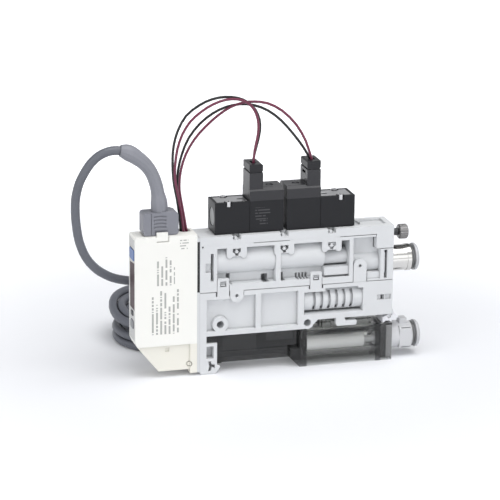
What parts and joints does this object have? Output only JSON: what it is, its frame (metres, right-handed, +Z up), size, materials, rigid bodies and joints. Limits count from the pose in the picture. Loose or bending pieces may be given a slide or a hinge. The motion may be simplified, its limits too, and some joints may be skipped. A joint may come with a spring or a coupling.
{
  "type": "vacuum ejector",
  "caption": "Slim vacuum ejector with twin pilot valves, silencer barrel, see-through suction filter, tube ports and a vacuum switch on a coiled cable.",
  "frame": {"origin": "on the floor, under the middle of the ejector's length and thickness (the free cable left out)", "axes": "+X from the vacuum switch towards the ports, +Y from the front into the body's thickness, +Z up through the valves"},
  "size_m": [0.1603, 0.0822, 0.1255],
  "materials": {
    "body_grey": "fine moulded grain",
    "brass": "turned",
    "inner_white": "porous",
    "rubber_black": "matt",
    "steel": "bright",
    "smoke_clear": "clear smoke-coloured plastic",
    "latch_white": "smooth",
    "port_grey": "smooth",
    "ring_grey": "smooth",
    "nickel": "nickel plated",
    "needle_metal": "knurled, nickel plated",
    "bush_black": "smooth",
    "valve_black": "fine grain",
    "cover_black": "fine grain",
    "plug_black": "fine grain",
    "button_black": "smooth",
    "switch_cream": "fine grain",
    "face_grey": "smooth",
    "window_dark": "dark tinted, glossy",
    "display_black": "smooth",
    "board_green": "satin",
    "key_blue": "smooth",
    "key_grey": "smooth",
    "connector_grey": "satin",
    "boot_grey": "soft, matt",
    "cable_grey": "soft sheath",
    "core_brown": "smooth insulation",
    "lead_black": "smooth insulation",
    "lead_red": "smooth insulation"
  },
  "bodies": {
    "ejector": {"lower_body": "body_grey", "upper_body": "body_grey", "valve_plate": "body_grey", "nozzle": "brass", "diffuser": "inner_white", "silencer_element": "inner_white", "check_valve": "rubber_black", "filter_case": "smoke_clear", "filter_element": "inner_white", "case_seal": "rubber_black", "latch_pin": "steel", "vacuum_port": "port_grey", "vacuum_collar": "rubber_black", "vacuum_tube_seal": "rubber_black", "supply_port": "nickel", "supply_collar": "rubber_black", "supply_tube_seal": "rubber_black", "supply_clip": "steel", "needle_bush": "bush_black", "supply_valve_body": "valve_black", "supply_valve_cover": "cover_black", "supply_valve_plug": "plug_black", "supply_valve_insert": "steel", "supply_valve_cap": "port_grey", "supply_valve_gasket": "rubber_black", "release_valve_body": "valve_black", "release_valve_cover": "cover_black", "release_valve_plug": "plug_black", "release_valve_insert": "steel", "release_valve_cap": "port_grey", "release_valve_gasket": "rubber_black", "valve_screws": "steel", "switch_housing": "switch_cream", "switch_face": "face_grey", "switch_window": "window_dark", "switch_display": "display_black", "switch_board": "board_green", "switch_adapter": "body_grey", "switch_gasket": "rubber_black", "switch_clip": "steel", "cable_connector": "connector_grey", "cable_boot": "boot_grey", "switch_cable": "cable_grey", "cable_coil": "cable_grey", "cable_cores": "core_brown", "supply_lead_black": "lead_black", "supply_lead_red": "lead_red", "release_lead_black": "lead_black", "release_lead_red": "lead_red", "lead_grommet": "switch_cream"},
    "spool": {"valve_spool": "steel"},
    "latch": {"filter_latch": "latch_white"},
    "vacuum_ring": {"vacuum_release_ring": "ring_grey"},
    "supply_ring": {"supply_release_ring": "ring_grey"},
    "needle": {"needle_screw": "needle_metal"},
    "supply_button": {"supply_valve_button": "button_black"},
    "release_button": {"release_valve_button": "button_black"},
    "key_up": {"switch_key_up": "key_blue"},
    "key_down": {"switch_key_down": "button_black"},
    "key_set": {"switch_key_set": "key_grey"}
  },
  "joints": [
    {"name": "spool_slide", "type": "slide", "parent": "ejector", "child": "spool", "axis": [1, 0, 0], "range_m": [0, 0.0028]},
    {"name": "latch_hinge", "type": "hinge", "parent": "ejector", "child": "latch", "pos_m": [0.05147, 0, 0.0204], "axis": [0, 1, 0], "range_deg": [0, 18], "stiffness_Nm_per_rad": 0.02, "springref_deg": -11.46},
    {"name": "vacuum_ring_slide", "type": "slide", "parent": "ejector", "child": "vacuum_ring", "axis": [-1, 0, 0], "range_m": [0, 0.0009], "stiffness_N_per_m": 1500},
    {"name": "supply_ring_slide", "type": "slide", "parent": "ejector", "child": "supply_ring", "axis": [-1, 0, 0], "range_m": [0, 0.0009], "stiffness_N_per_m": 1500},
    {"name": "needle_turn", "type": "hinge", "parent": "ejector", "child": "needle", "pos_m": [0.05758, 0, 0.0583], "axis": [1, 0, 0], "range_deg": [-1080, 1080]},
    {"name": "supply_button_press", "type": "slide", "parent": "ejector", "child": "supply_button", "axis": [0, 0, -1], "range_m": [0, 0.0007], "stiffness_N_per_m": 2000},
    {"name": "release_button_press", "type": "slide", "parent": "ejector", "child": "release_button", "axis": [0, 0, -1], "range_m": [0, 0.0007], "stiffness_N_per_m": 2000},
    {"name": "key_up_press", "type": "slide", "parent": "ejector", "child": "key_up", "axis": [1, 0, 0], "range_m": [0, 0.0004], "stiffness_N_per_m": 3000},
    {"name": "key_down_press", "type": "slide", "parent": "ejector", "child": "key_down", "axis": [1, 0, 0], "range_m": [0, 0.0004], "stiffness_N_per_m": 3000},
    {"name": "key_set_press", "type": "slide", "parent": "ejector", "child": "key_set", "axis": [1, 0, 0], "range_m": [0, 0.0004], "stiffness_N_per_m": 3000}
  ]
}
